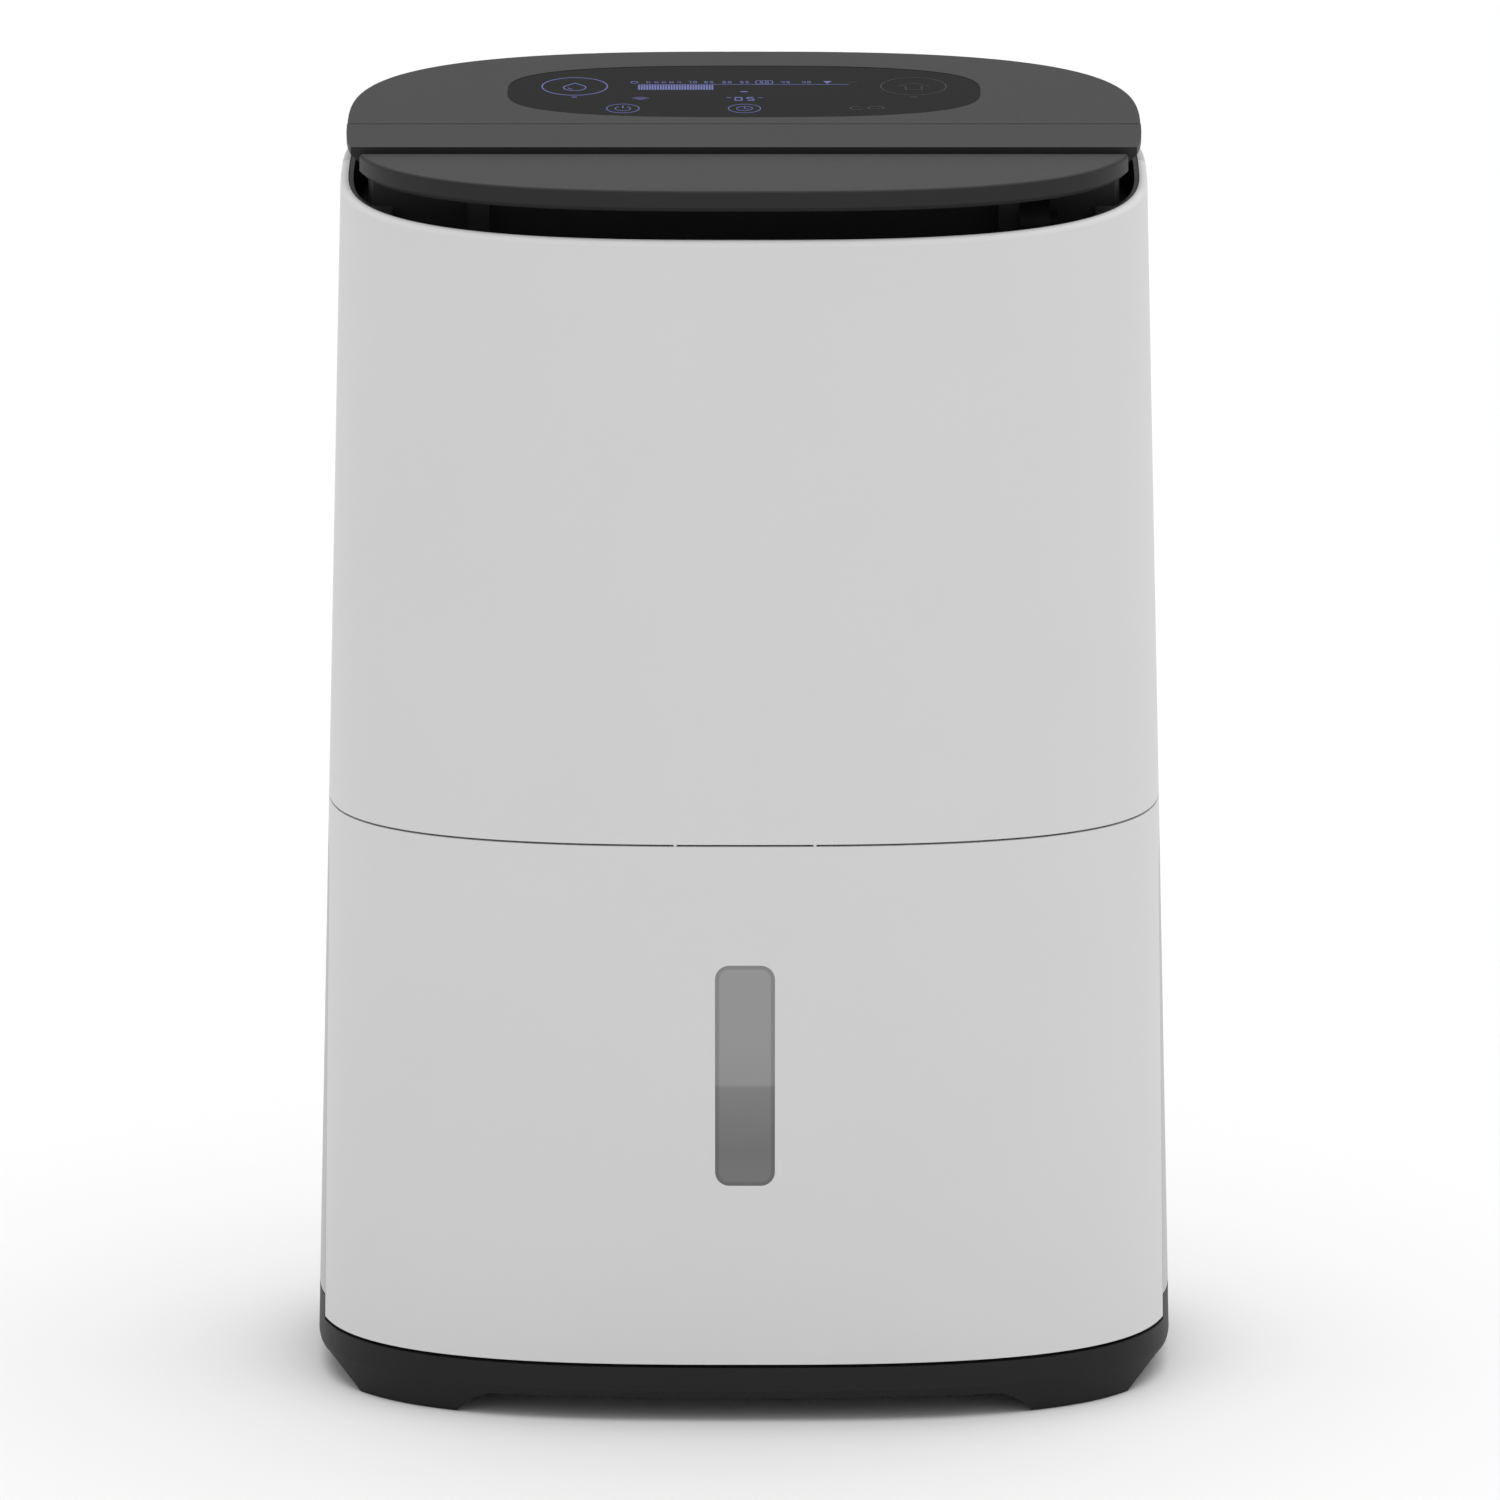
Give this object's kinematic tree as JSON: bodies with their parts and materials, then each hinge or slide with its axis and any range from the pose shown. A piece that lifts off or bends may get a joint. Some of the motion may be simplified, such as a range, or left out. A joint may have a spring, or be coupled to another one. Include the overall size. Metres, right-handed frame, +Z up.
{
  "type": "dehumidifier",
  "caption": "Upright oval compressor dehumidifier: white housing on a black base, sloping dark top with touch display, tilting air outlet louvre, carry handle and pull-out water tank.",
  "frame": {"origin": "centre of the footprint at floor level", "axes": "+Z up, -Y out of the front with the tank window and the air outlet, +X to the right seen from the front"},
  "size_m": [0.3232, 0.2165, 0.4828],
  "materials": {
    "body_white": "fine satin white moulding",
    "panel_white": "fine satin white moulding",
    "grille_white": "satin white moulding",
    "dark_top": "fine grained charcoal",
    "dark_base": "fine grained black",
    "duct_black": "matt black",
    "lens_black": "polished black",
    "window_grey": "smoked, clear",
    "tank_clear": "translucent grey",
    "pad_rubber": "matt",
    "chassis_grey": "moulded grey",
    "tray_white": "natural",
    "filter_grey": "moulded grey",
    "mesh_grey": "fine woven mesh",
    "fin_aluminium": "plain sheet",
    "tube_copper": "drawn copper",
    "compressor_black": "black enamel",
    "steel": "zinc plated",
    "plate_steel": "galvanised",
    "board_green": "solder mask",
    "capacitor_aluminium": "drawn can",
    "motor_metal": "dark grey",
    "float_orange": "foam",
    "magnet_dark": "plain"
  },
  "bodies": {
    "housing": {"front_cover": "body_white", "rear_cover": "body_white", "base_pan": "dark_base", "foot_pads": "pad_rubber", "chassis": "chassis_grey", "cover_screws": "steel", "cable_gland": "duct_black", "tank_switch": "dark_base", "compressor_shell": "compressor_black", "compressor_grommets": "pad_rubber", "compressor_bolts": "steel", "terminal_cover": "dark_base", "evaporator_tubes": "tube_copper", "evaporator_fins": "fin_aluminium", "condenser_tubes": "tube_copper", "condenser_fins": "fin_aluminium", "coil_plates": "plate_steel", "suction_pipe": "tube_copper", "discharge_pipe": "tube_copper", "filter_drier": "tube_copper", "liquid_pipe": "tube_copper", "capillary_tube": "tube_copper", "drip_tray": "tray_white", "drain_spigot": "duct_black", "fan_scroll": "chassis_grey", "scroll_cover": "chassis_grey", "fan_motor": "motor_metal", "motor_screws": "steel", "control_box": "chassis_grey", "control_box_lid": "chassis_grey", "main_board": "board_green", "run_capacitor": "capacitor_aluminium", "humidity_sensor": "board_green", "outlet_deck": "duct_black", "outlet_duct": "duct_black", "control_cover": "dark_top", "display_lens": "lens_black", "display_board": "board_green", "louvre_motor": "dark_base"},
    "louvre": {"outlet_louvre": "dark_top"},
    "handle": {"carry_handle": "dark_top"},
    "tank": {"water_tank": "tank_clear", "tank_panel": "panel_white", "tank_window": "window_grey", "tank_lid": "tank_clear"},
    "bail": {"tank_bail": "dark_base"},
    "float": {"tank_float": "float_orange", "float_magnet": "magnet_dark"},
    "fan": {"fan_impeller": "duct_black", "fan_shaft": "steel"},
    "grille": {"intake_grille": "grille_white", "filter_frame": "filter_grey", "filter_mesh": "mesh_grey"}
  },
  "joints": [
    {"name": "louvre_tilt", "type": "hinge", "parent": "housing", "child": "louvre", "pos_m": [0, -0.04574, 0.4608], "axis": [-1, 0, 0], "range_deg": [-10, 40]},
    {"name": "handle_lift", "type": "slide", "parent": "housing", "child": "handle", "axis": [0, -0.1011, 0.9949], "range_m": [0, 0.04]},
    {"name": "tank_pull", "type": "slide", "parent": "housing", "child": "tank", "axis": [0, -1, 0], "range_m": [0, 0.25]},
    {"name": "bail_lift", "type": "hinge", "parent": "tank", "child": "bail", "pos_m": [0, -0.055, 0.179], "axis": [1, 0, 0], "range_deg": [0, 90]},
    {"name": "float_rise", "type": "hinge", "parent": "tank", "child": "float", "pos_m": [-0.11, -0.026, 0.158], "axis": [-1, 0, 0], "range_deg": [0, 10]},
    {"name": "fan_spin", "type": "hinge", "parent": "housing", "child": "fan", "pos_m": [0, -0.03, 0.318], "axis": [0, 1, 0], "continuous": true},
    {"name": "grille_pull", "type": "slide", "parent": "housing", "child": "grille", "axis": [0, 1, 0], "range_m": [0, 0.06]}
  ]
}
